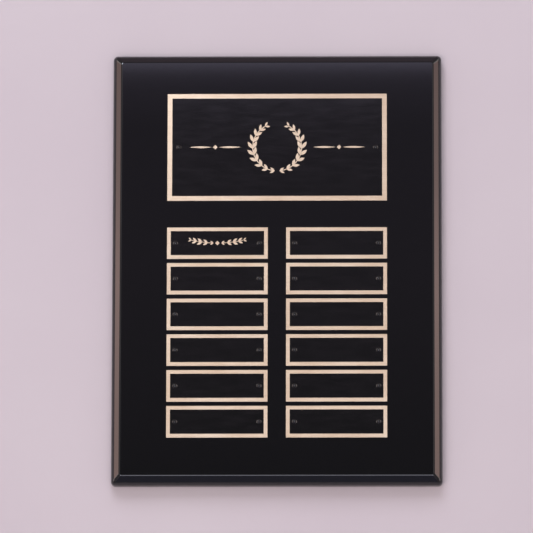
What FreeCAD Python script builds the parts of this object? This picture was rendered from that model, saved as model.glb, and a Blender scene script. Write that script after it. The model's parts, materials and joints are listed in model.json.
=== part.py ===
import FreeCAD, Part
import os
from math import cos, pi, radians, sin

import Sketcher
from FreeCAD import Placement, Rotation, Vector

# Perpetual plaque: a black piano-finish board that hangs on a wall, with one header plate and
# two columns of six nameplates, all of black-enamelled brass with a bare brass border and held
# by small domed pins, and a steel keyhole hanger let into the back.
#
# Row frame: +X right, +Z up, and the face looks along -Y. The origin is the centre of the back
# face, which lies against the wall.

# Driving dimensions in millimetres. A name that ends in share is a proportion.
DRIVING_SIZES = (
    ("board_width", 228.6, "board, side to side"),
    ("board_height", 304.8, "board, bottom to top"),
    ("board_thick", 12.7, "board, back to face"),
    ("edge_width", 5.85, "edge moulding, seen from the front"),
    ("bevel_width", 3.65, "flat bevel next to the face, seen from the front"),
    ("bevel_fall", 3.06, "drop of the flat bevel below the face"),
    ("corner_radius", 3.0, "easing of the four mitred corners"),
    ("arris_radius", 1.6, "round between the face and the bevel"),
    ("back_easing", 1.2, "chamfer round the back face"),
    ("name_plate_width", 69.85, "nameplate, side to side"),
    ("name_plate_height", 22.225, "nameplate, bottom to top"),
    ("name_plate_border", 2.6, "bare brass border of a nameplate"),
    ("column_gap", 12.7, "gap between the two columns of nameplates"),
    ("row_gap", 3.0, "gap between two nameplates of a column"),
    ("header_height", 76.2, "header plate, bottom to top"),
    ("header_border", 3.3, "bare brass border of the header plate"),
    ("header_gap", 19.05, "gap between the header plate and the first nameplates"),
    ("upper_margin_share", 0.472, "part of the free height that lies above the header plate"),
    ("plate_gauge", 0.64, "brass sheet of every plate"),
    ("enamel_build", 0.08, "screened enamel on the brass"),
    ("pin_inset", 5.9, "pin centre to the end of a nameplate"),
    ("header_pin_inset", 7.9, "pin centre to the end of the header plate"),
    ("pin_head_diameter", 3.7, "domed head of a pin"),
    ("pin_head_height", 1.25, "domed head, seat to crown"),
    ("pin_head_rim", 0.25, "straight rim under the dome"),
    ("dome_bevel_width", 1.0, "sloping side of the dome, seen from the front"),
    ("crown_easing", 0.35, "easing of the edge round the dome's crown"),
    ("pin_shank_diameter", 1.6, "shank of a pin"),
    ("pin_length", 9.5, "pin, seat of the head to the point"),
    ("pin_point_length", 1.8, "tapered point of a pin"),
    ("pin_tip_diameter", 0.4, "blunt tip of a pin"),
    ("plate_hole_play", 0.15, "room all round a shank in its plate"),
    ("pilot_play", 0.04, "room all round a shank in the board"),
    ("pilot_end_room", 0.5, "room between a pin's tip and the end of its hole"),
    ("hanger_length", 44.5, "keyhole hanger, bottom to top"),
    ("hanger_width", 16.0, "keyhole hanger, side to side"),
    ("hanger_gauge", 1.6, "steel sheet of the hanger"),
    ("hanger_drop", 38.0, "top of the board to the middle of the hanger"),
    ("hanger_play", 0.15, "room all round the hanger in its recess"),
    ("entry_diameter", 9.0, "round mouth of the keyhole"),
    ("slot_width", 4.8, "narrow run of the keyhole"),
    ("slot_travel", 8.0, "mouth centre to the centre of the slot end"),
    ("head_room", 1.0, "room round the mouth in the pocket behind the hanger"),
    ("pocket_depth", 8.0, "back face to the floor of the pocket"),
    ("hanger_screw_inset", 5.4, "screw centre to the end of the hanger"),
    ("screw_head_diameter", 5.4, "countersunk head of a hanger screw"),
    ("screw_shank_diameter", 2.8, "shank of a hanger screw"),
    ("screw_length", 9.5, "hanger screw, top of the head to the point"),
    ("screw_point_length", 2.2, "tapered point of a hanger screw"),
    ("screw_slot_width", 0.8, "driver slot of a hanger screw"),
    ("screw_slot_depth", 0.6, "driver slot, top to bottom"),
    ("screw_seat_play", 0.05, "room between a screw head and its countersink"),
    ("overrun", 4.0, "how far a cutter runs past what it cuts"),
)

# Counts
PLATE_ROWS = 6
PLATE_COLUMNS = 2
PINS_PER_PLATE = 2

# A pin and the holes that it goes through have this many flats in place of a round, because
# there are so many of them.
PIN_SIDES = 12
FLAT_SHARE = cos(pi / PIN_SIDES)

# Angles in degrees
COUNTERSINK_ANGLE = 90.0
DRILL_POINT_ANGLE = 118.0
QUARTER_TURN = 90.0
HALF_TURN = 180.0
FULL_TURN = 360.0

# How far a point may lie off a mitre or a plane and still count as on it, as a share of the
# board's width.
NEARNESS_SHARE = 1e-6

# Two stances: a piece on the front looks along -Y, a piece on the back looks along +Y.
FACING_FRONT = Rotation(Vector(1, 0, 0), QUARTER_TURN)
FACING_BACK = Rotation(Vector(0, 1, 1), HALF_TURN)

# Sizes that follow from the driving ones, written as expressions of the sheet.
HEADER_WIDTH = f"({PLATE_COLUMNS} * sizes.name_plate_width + sizes.column_gap)"
COLUMN_PITCH = "(sizes.name_plate_width + sizes.column_gap)"
ROW_PITCH = "(sizes.name_plate_height + sizes.row_gap)"
ROWS_HEIGHT = f"({PLATE_ROWS} * {ROW_PITCH} - sizes.row_gap)"
LAYOUT_HEIGHT = f"(sizes.header_height + sizes.header_gap + {ROWS_HEIGHT})"
UPPER_MARGIN = f"((sizes.board_height - {LAYOUT_HEIGHT}) * sizes.upper_margin_share)"
HEADER_CENTRE_UP = f"(sizes.board_height / 2 - {UPPER_MARGIN} - sizes.header_height / 2)"
TOP_ROW_UP = (f"({HEADER_CENTRE_UP} - sizes.header_height / 2 - sizes.header_gap"
              " - sizes.name_plate_height / 2)")
BOTTOM_ROW_UP = f"({TOP_ROW_UP} - {PLATE_ROWS - 1} * {ROW_PITCH})"
LEFT_COLUMN_ACROSS = f"(-{COLUMN_PITCH} / 2)"
PIN_SPAN = "(sizes.name_plate_width - 2 * sizes.pin_inset)"
HEADER_PIN_SPAN = f"({HEADER_WIDTH} - 2 * sizes.header_pin_inset)"
FIRST_PIN_ACROSS = f"({LEFT_COLUMN_ACROSS} - {PIN_SPAN} / 2)"
PIN_SEAT = "(sizes.plate_gauge + sizes.enamel_build)"
PILOT_DEPTH = f"(sizes.pin_length - {PIN_SEAT} + sizes.pilot_end_room)"
POINT_NARROWING = f"((sizes.pin_shank_diameter - sizes.pin_tip_diameter) / 2 * {FLAT_SHARE})"
PILOT_RADIUS = "(sizes.pin_shank_diameter / 2 + sizes.pilot_play)"
PLATE_HOLE_RADIUS = "(sizes.pin_shank_diameter / 2 + sizes.plate_hole_play)"
DOME_RISE = "(sizes.pin_head_height - sizes.pin_head_rim)"
BEVEL_ANGLE = "atan(sizes.bevel_fall / sizes.bevel_width)"
ROUND_WIDTH = "(sizes.edge_width - sizes.bevel_width)"
ROUND_RADIUS = f"({ROUND_WIDTH} / (1 - sin({BEVEL_ANGLE})))"
HANGER_UP = "(sizes.board_height / 2 - sizes.hanger_drop)"
HANGER_SCREW_SPAN = "(sizes.hanger_length - 2 * sizes.hanger_screw_inset)"
SCREW_HEAD_HEIGHT = "((sizes.screw_head_diameter - sizes.screw_shank_diameter) / 2)"


doc = FreeCAD.newDocument("perpetual_plaque")
sheet = doc.addObject("Spreadsheet::Sheet", "sizes")
for row, (alias, size, note) in enumerate(DRIVING_SIZES, start=1):
    sheet.set(f"A{row}", alias)
    sheet.set(f"B{row}", str(size))
    sheet.set(f"C{row}", note)
    sheet.setAlias(f"B{row}", alias)
doc.recompute()


def value(expression):
    """The number that an expression of the sheet gives."""
    result = sheet.evalExpression(expression)
    return float(getattr(result, "Value", result))


NEARNESS = value("sizes.board_width") * NEARNESS_SHARE


def origin_feature(body, role):
    """One of a body's own origin planes or axes."""
    return next(item for item in body.Origin.OriginFeatures if item.Role == role)


def new_body(label, stance, across="0", out="0", up="0"):
    """An empty body that stands in the row frame: across is X, out is -Y and up is Z."""
    body = doc.addObject("PartDesign::Body", label)
    body.Label = label
    body.AllowCompound = True
    body.Placement = Placement(Vector(), stance)
    body.setExpression("Placement.Base.x", across)
    body.setExpression("Placement.Base.y", f"-({out})")
    body.setExpression("Placement.Base.z", up)
    return body


def new_sketch(body, name, role="XY_Plane", height=None):
    """A sketch on one of the body's origin planes, raised by height along its normal."""
    sketch = body.newObject("Sketcher::SketchObject", name)
    sketch.AttachmentSupport = [(origin_feature(body, role), "")]
    sketch.MapMode = "FlatFace"
    if height:
        sketch.setExpression("AttachmentOffset.Base.z", height)
    return sketch


def dimension(sketch, name, kind, expression, *places):
    """A named dimension of the sketch that follows an expression of the sheet."""
    index = sketch.addConstraint(Sketcher.Constraint(kind, *places, value(expression)))
    sketch.renameConstraint(index, name)
    sketch.setExpression(f"Constraints.{name}", expression)


def line(sketch, start, end):
    """A straight edge of the sketch between two (across, up) points."""
    return sketch.addGeometry(Part.LineSegment(Vector(*start, 0), Vector(*end, 0)))


def arc(sketch, centre, radius, start_angle, end_angle):
    """An arc of the sketch, anticlockwise between two angles in degrees."""
    circle = Part.Circle(Vector(*centre, 0), Vector(0, 0, 1), radius)
    return sketch.addGeometry(Part.ArcOfCircle(circle, radians(start_angle), radians(end_angle)))


def outline(sketch, points):
    """Straight edges through the points in order, each joined to the next."""
    edges = [line(sketch, start, end) for start, end in zip(points, points[1:])]
    for edge, following in zip(edges, edges[1:]):
        sketch.addConstraint(Sketcher.Constraint("Coincident", edge, 2, following, 1))
    return edges


def draw_rectangle(sketch, width, height):
    """A rectangle centred on the sketch's origin."""
    half_width = value(width) / 2
    half_height = value(height) / 2
    first = (-half_width, -half_height)
    others = [(half_width, -half_height), (half_width, half_height), (-half_width, half_height)]
    bottom, right, top, left = outline(sketch, [first] + others + [first])
    sketch.addConstraint(Sketcher.Constraint("Coincident", left, 2, bottom, 1))
    for edge in (bottom, top):
        sketch.addConstraint(Sketcher.Constraint("Horizontal", edge))
    for edge in (left, right):
        sketch.addConstraint(Sketcher.Constraint("Vertical", edge))
    sketch.addConstraint(Sketcher.Constraint("Symmetric", bottom, 1, top, 1, -1, 1))
    dimension(sketch, "width", "DistanceX", width, bottom, 1, bottom, 2)
    dimension(sketch, "height", "DistanceY", height, right, 1, right, 2)


def draw_circle(sketch, name, radius, across="0", up="0"):
    """A circle whose centre is across and up from the sketch's origin."""
    centre = Vector(value(across), value(up), 0)
    circle = sketch.addGeometry(Part.Circle(centre, Vector(0, 0, 1), value(radius)))
    dimension(sketch, f"{name}_radius", "Radius", radius, circle)
    dimension(sketch, f"{name}_across", "DistanceX", across, -1, 1, circle, 3)
    dimension(sketch, f"{name}_up", "DistanceY", up, -1, 1, circle, 3)


def draw_flats(sketch, name, radius, across="0", up="0"):
    """A regular polygon about a point across and up from the sketch's origin."""
    reach = value(radius)
    centre = Vector(value(across), value(up), 0)
    turns = [radians(FULL_TURN * number / PIN_SIDES) for number in range(PIN_SIDES)]
    corners = [(centre.x + reach * cos(turn), centre.y + reach * sin(turn)) for turn in turns]
    round_them = sketch.addGeometry(Part.Circle(centre, Vector(0, 0, 1), reach), True)
    flats = outline(sketch, corners + corners[:1])
    sketch.addConstraint(Sketcher.Constraint("Coincident", flats[-1], 2, flats[0], 1))
    for flat in flats:
        sketch.addConstraint(Sketcher.Constraint("PointOnObject", flat, 1, round_them))
    for flat in flats[1:]:
        sketch.addConstraint(Sketcher.Constraint("Equal", flats[0], flat))
    sketch.addConstraint(Sketcher.Constraint("Horizontal", round_them, 3, flats[0], 1))
    dimension(sketch, f"{name}_radius", "Radius", radius, round_them)
    dimension(sketch, f"{name}_across", "DistanceX", across, -1, 1, round_them, 3)
    dimension(sketch, f"{name}_up", "DistanceY", up, -1, 1, round_them, 3)


def draw_obround(sketch, straight, radius, up="0"):
    """An upright slot shape: two half circles whose centres lie straight apart."""
    reach = value(radius)
    crown = value(f"{up} + {straight} / 2")
    heel = value(f"{up} - {straight} / 2")
    upper = arc(sketch, (0, crown), reach, 0, HALF_TURN)
    left = line(sketch, (-reach, crown), (-reach, heel))
    lower = arc(sketch, (0, heel), reach, HALF_TURN, FULL_TURN)
    right = line(sketch, (reach, heel), (reach, crown))
    for edge, following in ((upper, left), (left, lower), (lower, right), (right, upper)):
        sketch.addConstraint(Sketcher.Constraint("Tangent", edge, 2, following, 1))
    sketch.addConstraint(Sketcher.Constraint("PointOnObject", upper, 3, -2))
    sketch.addConstraint(Sketcher.Constraint("Vertical", left))
    sketch.addConstraint(Sketcher.Constraint("Vertical", right))
    dimension(sketch, "radius", "Radius", radius, upper)
    dimension(sketch, "straight", "DistanceY", straight, lower, 3, upper, 3)
    dimension(sketch, "crown", "DistanceY", f"{up} + {straight} / 2", -1, 1, upper, 3)


def draw_keyhole(sketch):
    """A round mouth below and a narrow run above it, with a rounded end."""
    mouth = value("sizes.entry_diameter / 2")
    narrow = value("sizes.slot_width / 2")
    low = value("-sizes.slot_travel / 2")
    high = value("sizes.slot_travel / 2")
    neck_angle = value("acos(sizes.slot_width / sizes.entry_diameter)")
    neck = low + value("sqrt(pow(sizes.entry_diameter; 2) - pow(sizes.slot_width; 2)) / 2")
    entry = arc(sketch, (0, low), mouth, HALF_TURN - neck_angle, FULL_TURN + neck_angle)
    right = line(sketch, (narrow, neck), (narrow, high))
    crown = arc(sketch, (0, high), narrow, 0, HALF_TURN)
    left = line(sketch, (-narrow, high), (-narrow, neck))
    sketch.addConstraint(Sketcher.Constraint("Coincident", entry, 2, right, 1))
    sketch.addConstraint(Sketcher.Constraint("Tangent", right, 2, crown, 1))
    sketch.addConstraint(Sketcher.Constraint("Tangent", crown, 2, left, 1))
    sketch.addConstraint(Sketcher.Constraint("Coincident", left, 2, entry, 1))
    sketch.addConstraint(Sketcher.Constraint("Vertical", left))
    sketch.addConstraint(Sketcher.Constraint("Vertical", right))
    sketch.addConstraint(Sketcher.Constraint("PointOnObject", crown, 3, -2))
    sketch.addConstraint(Sketcher.Constraint("PointOnObject", entry, 3, -2))
    dimension(sketch, "mouth_radius", "Radius", "sizes.entry_diameter / 2", entry)
    dimension(sketch, "slot_radius", "Radius", "sizes.slot_width / 2", crown)
    dimension(sketch, "travel", "DistanceY", "sizes.slot_travel", entry, 3, crown, 3)
    dimension(sketch, "slot_end", "DistanceY", "sizes.slot_travel / 2", -1, 1, crown, 3)


def draw_moulding_waste(sketch, half_span):
    """What the moulding cutter takes off one edge, across the edge and out of the face.

    A flat bevel falls away from the face, and a round that is tangent to it runs into the side.
    """
    face = value("sizes.board_thick")
    side = value(half_span)
    arris = (value(f"{half_span} - sizes.edge_width"), face)
    bevel_end = (arris[0] + value("sizes.bevel_width"), face - value("sizes.bevel_fall"))
    radius = value(ROUND_RADIUS)
    centre = (side - radius, bevel_end[1] - value(f"{ROUND_RADIUS} * cos({BEVEL_ANGLE})"))
    outside = side + value("sizes.overrun")
    above = face + value("sizes.overrun")

    bevel = line(sketch, arris, bevel_end)
    rounding = arc(sketch, centre, radius, 0, QUARTER_TURN - value(BEVEL_ANGLE))
    shelf, outer, lid, inner = outline(
        sketch,
        [(side, centre[1]), (outside, centre[1]), (outside, above), (arris[0], above), arris])
    sketch.addConstraint(Sketcher.Constraint("Coincident", inner, 2, bevel, 1))
    sketch.addConstraint(Sketcher.Constraint("Tangent", bevel, 2, rounding, 2))
    sketch.addConstraint(Sketcher.Constraint("Coincident", rounding, 1, shelf, 1))
    sketch.addConstraint(Sketcher.Constraint("Horizontal", rounding, 3, rounding, 1))
    for edge in (shelf, lid):
        sketch.addConstraint(Sketcher.Constraint("Horizontal", edge))
    for edge in (outer, inner):
        sketch.addConstraint(Sketcher.Constraint("Vertical", edge))
    dimension(sketch, "arris_across", "DistanceX", f"{half_span} - sizes.edge_width",
              -1, 1, bevel, 1)
    dimension(sketch, "arris_out", "DistanceY", "sizes.board_thick", -1, 1, bevel, 1)
    dimension(sketch, "bevel_width", "DistanceX", "sizes.bevel_width", bevel, 1, bevel, 2)
    dimension(sketch, "bevel_fall", "DistanceY", "sizes.bevel_fall", bevel, 2, bevel, 1)
    dimension(sketch, "round_width", "DistanceX", ROUND_WIDTH, rounding, 2, rounding, 1)
    dimension(sketch, "outer_overrun", "DistanceX", "sizes.overrun", shelf, 1, shelf, 2)
    dimension(sketch, "upper_overrun", "DistanceY", "sizes.overrun", inner, 2, inner, 1)


def draw_screw_profile(sketch):
    """Half of a countersunk screw whose head is flush with the sketch's origin."""
    head = value("sizes.screw_head_diameter / 2")
    shank = value("sizes.screw_shank_diameter / 2")
    neck = value(f"-{SCREW_HEAD_HEIGHT}")
    taper = value("sizes.screw_point_length - sizes.screw_length")
    point = value("-sizes.screw_length")
    axis, cone, shank_side, countersink, top = outline(
        sketch,
        [(0, 0), (0, point), (shank, taper), (shank, neck), (head, 0), (0, 0)])
    sketch.addConstraint(Sketcher.Constraint("Coincident", top, 2, axis, 1))
    sketch.addConstraint(Sketcher.Constraint("Coincident", axis, 1, -1, 1))
    sketch.addConstraint(Sketcher.Constraint("Vertical", axis))
    sketch.addConstraint(Sketcher.Constraint("Horizontal", top))
    sketch.addConstraint(Sketcher.Constraint("Vertical", shank_side))
    dimension(sketch, "head_radius", "DistanceX", "sizes.screw_head_diameter / 2", top, 2, top, 1)
    dimension(sketch, "shank_radius", "DistanceX", "sizes.screw_shank_diameter / 2",
              cone, 1, cone, 2)
    dimension(sketch, "head_height", "DistanceY", SCREW_HEAD_HEIGHT,
              countersink, 1, countersink, 2)
    dimension(sketch, "length", "DistanceY", "sizes.screw_length", axis, 2, axis, 1)
    dimension(sketch, "point", "DistanceY", "sizes.screw_point_length", cone, 1, cone, 2)


def settle(body, feature, cuts=False):
    """Make a feature the body's tip, and see that it added or cut something."""
    before = body.Shape.Volume if not body.Shape.isNull() else 0
    body.Tip = feature
    doc.recompute()
    change = body.Shape.Volume - before
    if change == 0 or (change < 0) != cuts:
        raise RuntimeError(f"{body.Label}: {feature.Label} changed the volume by {change}")
    return feature


def pad(body, name, sketch, length, downwards=False):
    """Raise a sketch along its normal, or against it."""
    feature = body.newObject("PartDesign::Pad", name)
    feature.Profile = sketch
    feature.Reversed = downwards
    feature.setExpression("Length", length)
    return settle(body, feature)


def pocket(body, name, sketch, depth=None, from_back=False):
    """Cut a sketch down from its face, or through the whole body both ways without a depth."""
    feature = body.newObject("PartDesign::Pocket", name)
    feature.Profile = sketch
    feature.Reversed = from_back
    if depth:
        feature.setExpression("Length", depth)
    else:
        feature.Type = "ThroughAll"
        feature.SideType = "Symmetric"
    return settle(body, feature, cuts=True)


def drill(body, name, sketch, diameter, depth=None, from_back=False):
    """Drill each circle's centre: a blind hole with a drill's point, or a through hole."""
    doc.recompute()
    feature = body.newObject("PartDesign::Hole", name)
    feature.Profile = sketch
    feature.Reversed = from_back
    feature.setExpression("Diameter", diameter)
    if depth:
        feature.DepthType = "Dimension"
        feature.setExpression("Depth", depth)
        feature.DrillPoint = "Angled"
        feature.DrillPointAngle = DRILL_POINT_ANGLE
    else:
        feature.DepthType = "ThroughAll"
    return settle(body, feature, cuts=True)


def revolve(body, name, sketch):
    """Turn a sketch once round its own upright axis."""
    feature = body.newObject("PartDesign::Revolution", name)
    feature.Profile = sketch
    feature.ReferenceAxis = (sketch, ["V_Axis"])
    feature.Angle = FULL_TURN
    return settle(body, feature)


def mirror(body, name, original, role):
    """The same cut again on the other side of one of the body's origin planes."""
    feature = body.newObject("PartDesign::Mirrored", name)
    feature.Originals = [original]
    feature.MirrorPlane = (origin_feature(body, role), [""])
    return settle(body, feature, cuts=True)


def repeat(body, name, steps, originals=(), cuts=False):
    """Repeat features, or else the whole body. Each step is an axis, a count and a pitch."""
    feature = body.newObject("PartDesign::MultiTransform", name)
    if originals:
        feature.Originals = originals
    else:
        feature.TransformMode = "Whole shape"
    runs = []
    for number, (role, count, pitch) in enumerate(steps, start=1):
        run = doc.addObject("PartDesign::LinearPattern", f"{name}_run_{number}")
        run.Direction = (origin_feature(body, role), [""])
        run.Mode = "Spacing"
        run.setExpression("Offset", pitch)
        run.Occurrences = count
        runs.append(run)
    feature.Transformations = runs
    return settle(body, feature, cuts=cuts)


def chosen_edges(body, chooses):
    """The body's last feature, and the names of its edges that the test chooses."""
    return body.Tip, [f"Edge{number}" for number, edge in enumerate(body.Tip.Shape.Edges, start=1)
                      if chooses(edge)]


def fillet(body, name, radius, chooses):
    """Round each edge that the test chooses."""
    edges = chosen_edges(body, chooses)
    feature = body.newObject("PartDesign::Fillet", name)
    feature.Base = edges
    feature.setExpression("Radius", radius)
    return settle(body, feature, cuts=True)


def chamfer(body, name, down, chooses, across=None):
    """Bevel each edge that the test chooses: as far across as down, unless across is given."""
    edges = chosen_edges(body, chooses)
    feature = body.newObject("PartDesign::Chamfer", name)
    feature.Base = edges
    feature.setExpression("Size", down)
    if across:
        feature.ChamferType = "Two distances"
        feature.setExpression("Size2", across)
    return settle(body, feature, cuts=True)


def samples(edge):
    """The two ends and the middle of an edge."""
    low, high = edge.ParameterRange
    return [edge.valueAt(place) for place in (low, (low + high) / 2, high)]


def lies_at(height):
    """A test for the edges that lie flat at a height above the body's own XY plane."""
    level = value(height)
    return lambda edge: all(abs(point.z - level) < NEARNESS for point in samples(edge))


def lies_on_mitre(edge):
    """Whether an edge runs down one of the board's corners, where two sides meet."""
    half_width = value("sizes.board_width / 2")
    half_height = value("sizes.board_height / 2")
    return all(
        abs((half_width - abs(point.x)) - (half_height - abs(point.y))) < NEARNESS
        and half_width - abs(point.x) < value("sizes.edge_width") + NEARNESS
        for point in samples(edge))


NAME_PLATES = (("X_Axis", PLATE_COLUMNS, COLUMN_PITCH), ("Y_Axis", PLATE_ROWS, ROW_PITCH))
NAME_PLATE_PINS = (("X_Axis", PINS_PER_PLATE, PIN_SPAN),) + NAME_PLATES
HEADER_PLATE_PINS = (("X_Axis", PINS_PER_PLATE, HEADER_PIN_SPAN),)
HANGER_SCREWS = (("Y_Axis", PINS_PER_PLATE, HANGER_SCREW_SPAN),)


def make_board():
    """The board: a moulded edge all round, pin holes in the face and the hanger's bed behind."""
    body = new_body("board", FACING_FRONT)

    plan = new_sketch(body, "board_plan")
    draw_rectangle(plan, "sizes.board_width", "sizes.board_height")
    pad(body, "board_blank", plan, "sizes.board_thick")

    side_waste = new_sketch(body, "side_waste", "XZ_Plane")
    draw_moulding_waste(side_waste, "sizes.board_width / 2")
    right_moulding = pocket(body, "right_moulding", side_waste)
    mirror(body, "left_moulding", right_moulding, "YZ_Plane")

    end_waste = new_sketch(body, "end_waste", "YZ_Plane")
    draw_moulding_waste(end_waste, "sizes.board_height / 2")
    top_moulding = pocket(body, "top_moulding", end_waste)
    mirror(body, "bottom_moulding", top_moulding, "XZ_Plane")

    fillet(body, "eased_corners", "sizes.corner_radius", lies_on_mitre)
    fillet(body, "eased_arris", "sizes.arris_radius", lies_at("sizes.board_thick"))
    chamfer(body, "eased_back", "sizes.back_easing", lies_at("0"))

    bed = new_sketch(body, "hanger_bed_plan")
    draw_obround(bed, "(sizes.hanger_length - sizes.hanger_width)",
                 "(sizes.hanger_width / 2 + sizes.hanger_play)", HANGER_UP)
    pocket(body, "hanger_bed", bed, "sizes.hanger_gauge", from_back=True)

    head_pocket = new_sketch(body, "head_pocket_plan")
    draw_obround(head_pocket, "sizes.slot_travel",
                 "(sizes.entry_diameter / 2 + sizes.head_room)", HANGER_UP)
    pocket(body, "head_pocket", head_pocket, "sizes.pocket_depth", from_back=True)

    screw_place = new_sketch(body, "hanger_pilot_place", height="sizes.hanger_gauge")
    draw_circle(screw_place, "pilot", "sizes.screw_shank_diameter / 2 + sizes.pilot_play",
                up=f"{HANGER_UP} - {HANGER_SCREW_SPAN} / 2")
    hanger_pilot = drill(
        body, "hanger_pilot", screw_place,
        "sizes.screw_shank_diameter + 2 * sizes.pilot_play",
        "sizes.screw_length - sizes.hanger_gauge",
        from_back=True)
    repeat(body, "hanger_pilots", HANGER_SCREWS, [hanger_pilot], cuts=True)

    header_place = new_sketch(body, "header_pilot_place", height="sizes.board_thick")
    draw_flats(header_place, "pilot", PILOT_RADIUS,
               across=f"-{HEADER_PIN_SPAN} / 2", up=HEADER_CENTRE_UP)
    header_pilot = pocket(body, "header_pilot", header_place, PILOT_DEPTH)
    repeat(body, "header_pilots", HEADER_PLATE_PINS, [header_pilot], cuts=True)

    name_place = new_sketch(body, "name_pilot_place", height="sizes.board_thick")
    draw_flats(name_place, "pilot", PILOT_RADIUS, across=FIRST_PIN_ACROSS, up=BOTTOM_ROW_UP)
    name_pilot = pocket(body, "name_pilot", name_place, PILOT_DEPTH)
    repeat(body, "name_pilots", NAME_PLATE_PINS, [name_pilot], cuts=True)
    return body


def punch_pin_holes(body, label, width, pin_inset, height):
    """Two holes for pins, clear of their shanks, through a plate or its enamel."""
    places = new_sketch(body, f"{label}_hole_places", height=height)
    draw_flats(places, "left", PLATE_HOLE_RADIUS, across=f"{pin_inset} - {width} / 2")
    draw_flats(places, "right", PLATE_HOLE_RADIUS, across=f"{width} / 2 - {pin_inset}")
    return pocket(body, f"{label}_holes", places)


def make_plate(label, width, height, pin_inset, across, up):
    """A plain brass plate that lies on the face."""
    body = new_body(label, FACING_FRONT, across, "sizes.board_thick", up)
    plan = new_sketch(body, f"{label}_plan")
    draw_rectangle(plan, width, height)
    pad(body, f"{label}_sheet", plan, "sizes.plate_gauge")
    punch_pin_holes(body, label, width, pin_inset, "sizes.plate_gauge")
    return body


def make_enamel(label, width, height, border, pin_inset, across, up, steps=()):
    """The black enamel on a plate's face, inside a bare border, and again on others like it."""
    body = new_body(label, FACING_FRONT, across, "sizes.board_thick + sizes.plate_gauge", up)
    field = new_sketch(body, f"{label}_field")
    draw_rectangle(field, f"{width} - 2 * {border}", f"{height} - 2 * {border}")
    pad(body, f"{label}_screened", field, "sizes.enamel_build")
    punch_pin_holes(body, label, width, pin_inset, "sizes.enamel_build")
    if steps:
        repeat(body, f"{label}_set", steps)
    return body


def make_name_plates():
    """The nameplates, down the left column and then down the right one."""
    plates = []
    for column in range(PLATE_COLUMNS):
        across = f"{LEFT_COLUMN_ACROSS} + {column} * {COLUMN_PITCH}"
        for row in range(PLATE_ROWS):
            number = column * PLATE_ROWS + row + 1
            plates.append(make_plate(
                f"name_plate_{number:02d}", "sizes.name_plate_width",
                "sizes.name_plate_height", "sizes.pin_inset",
                across, f"{TOP_ROW_UP} - {row} * {ROW_PITCH}"))
    return plates


def make_pins(label, across, up, steps):
    """Domed pins seated on the enamel, the first one at (across, up)."""
    body = new_body(label, FACING_FRONT, across, f"sizes.board_thick + {PIN_SEAT}", up)
    head = new_sketch(body, f"{label}_head_plan")
    draw_flats(head, "head", "sizes.pin_head_diameter / 2")
    pad(body, f"{label}_head", head, "sizes.pin_head_height")
    shank = new_sketch(body, f"{label}_shank_plan")
    draw_flats(shank, "shank", "sizes.pin_shank_diameter / 2")
    pad(body, f"{label}_shank", shank, "sizes.pin_length", downwards=True)

    at_crown = lies_at("sizes.pin_head_height")
    chamfer(body, f"{label}_dome", DOME_RISE, at_crown, across="sizes.dome_bevel_width")
    chamfer(body, f"{label}_crown", "sizes.crown_easing", at_crown)
    chamfer(body, f"{label}_point", "sizes.pin_point_length", lies_at("-sizes.pin_length"),
            across=POINT_NARROWING)
    repeat(body, f"{label}_set", steps)
    return body


def make_keyhole_hanger():
    """The steel hanger, flush with the back face, with a keyhole between two screw holes."""
    body = new_body("keyhole_hanger", FACING_BACK, "0", "sizes.hanger_gauge", HANGER_UP)

    plan = new_sketch(body, "hanger_plan")
    draw_obround(plan, "(sizes.hanger_length - sizes.hanger_width)",
                 "(sizes.hanger_width / 2)")
    pad(body, "hanger_blank", plan, "sizes.hanger_gauge")

    keyhole = new_sketch(body, "keyhole_plan", height="sizes.hanger_gauge")
    draw_keyhole(keyhole)
    pocket(body, "keyhole", keyhole)

    place = new_sketch(body, "hanger_hole_place", height="sizes.hanger_gauge")
    draw_circle(place, "hole", "sizes.screw_shank_diameter / 2 + sizes.plate_hole_play",
                up=f"-{HANGER_SCREW_SPAN} / 2")
    hole = drill(body, "hanger_hole", place,
                 "sizes.screw_shank_diameter + 2 * sizes.plate_hole_play")
    hole.HoleCutType = "Countersink"
    hole.HoleCutCustomValues = True
    hole.HoleCutCountersinkAngle = COUNTERSINK_ANGLE
    hole.setExpression("HoleCutDiameter", "sizes.screw_head_diameter + 2 * sizes.screw_seat_play")
    repeat(body, "hanger_holes", HANGER_SCREWS, [hole], cuts=True)
    return body


def make_hanger_screws():
    """The two slotted countersunk screws that hold the hanger."""
    body = new_body("hanger_screws", FACING_BACK, "0", "0",
                    f"{HANGER_UP} - {HANGER_SCREW_SPAN} / 2")
    profile = new_sketch(body, "screw_profile", "XZ_Plane")
    draw_screw_profile(profile)
    revolve(body, "screw_turned", profile)
    slot_plan = new_sketch(body, "screw_slot_plan")
    draw_rectangle(slot_plan, "sizes.screw_head_diameter + sizes.overrun",
                   "sizes.screw_slot_width")
    pocket(body, "screw_slot", slot_plan, "sizes.screw_slot_depth")
    repeat(body, "screw_pair", HANGER_SCREWS)
    return body


def check_model(pieces):
    """Stop if an object failed, a sketch is loose or a piece has the wrong solids."""
    for item in doc.Objects:
        if "Invalid" in item.State or "Error" in item.State:
            raise RuntimeError(f"{item.Label} is {item.State}")
        if item.TypeId == "Sketcher::SketchObject" and not item.FullyConstrained:
            raise RuntimeError(f"{item.Label} is not fully constrained")
    for body, solids in pieces:
        shape = body.Shape
        if shape.isNull() or not shape.isValid():
            raise RuntimeError(f"{body.Label} has no valid shape")
        if len(shape.Solids) != solids:
            raise RuntimeError(f"{body.Label} has {len(shape.Solids)} solids, not {solids}")


def export_pieces(pieces):
    """Write each piece to its own file, named for its node."""
    os.makedirs("parts", exist_ok=True)
    for body, solids in pieces:
        body.Shape.exportStep(os.path.join("parts", f"{body.Label}.step"))
        print(f"{body.Label}: {solids} solid(s), {body.Shape.Volume:.1f} mm3")


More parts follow.
